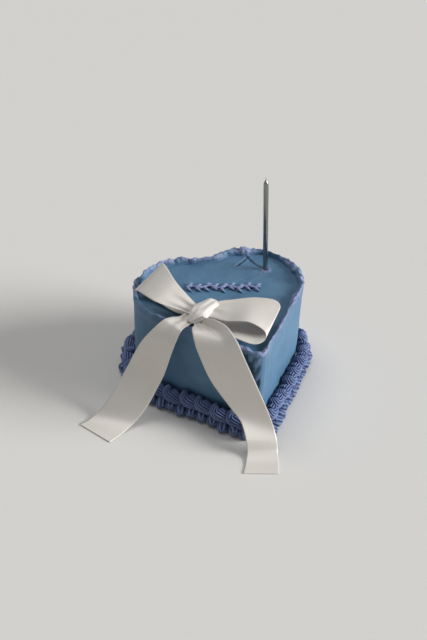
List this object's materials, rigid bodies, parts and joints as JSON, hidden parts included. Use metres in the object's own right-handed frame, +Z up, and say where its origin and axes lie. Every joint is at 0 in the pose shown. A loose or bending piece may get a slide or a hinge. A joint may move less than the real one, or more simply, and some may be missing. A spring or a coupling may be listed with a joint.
{
  "type": "birthday cake",
  "caption": "Heart-shaped cake in blue cream with piped shell borders, a satin ribbon bow with trailing tails and a tall slim candle, for a birthday table.",
  "frame": {"origin": "centre of the underside of the whole object's bounding box, on the table", "axes": "+Z up; the heart's own axis runs along Y, with its point towards -Y and its lobes towards +Y; +X towards the lobe that carries the candle"},
  "size_m": [0.2932, 0.2708, 0.223],
  "materials": {
    "blue_cream": "soft matt buttercream",
    "piped_cream": "soft matt piped buttercream",
    "satin": "ivory satin",
    "silver_coat": "silver metallic coat over wax",
    "wick_cotton": "waxed cotton"
  },
  "bodies": {
    "root": {"cake_body": "blue_cream", "border_large_shells": "piped_cream", "border_small_shells": "piped_cream", "piped_vine": "piped_cream", "candle": "silver_coat", "candle_wick": "wick_cotton", "bow_loop_left": "satin", "bow_loop_right": "satin", "bow_knot": "satin", "bow_tail_left": "satin", "bow_tail_right": "satin"}
  },
  "joints": []
}
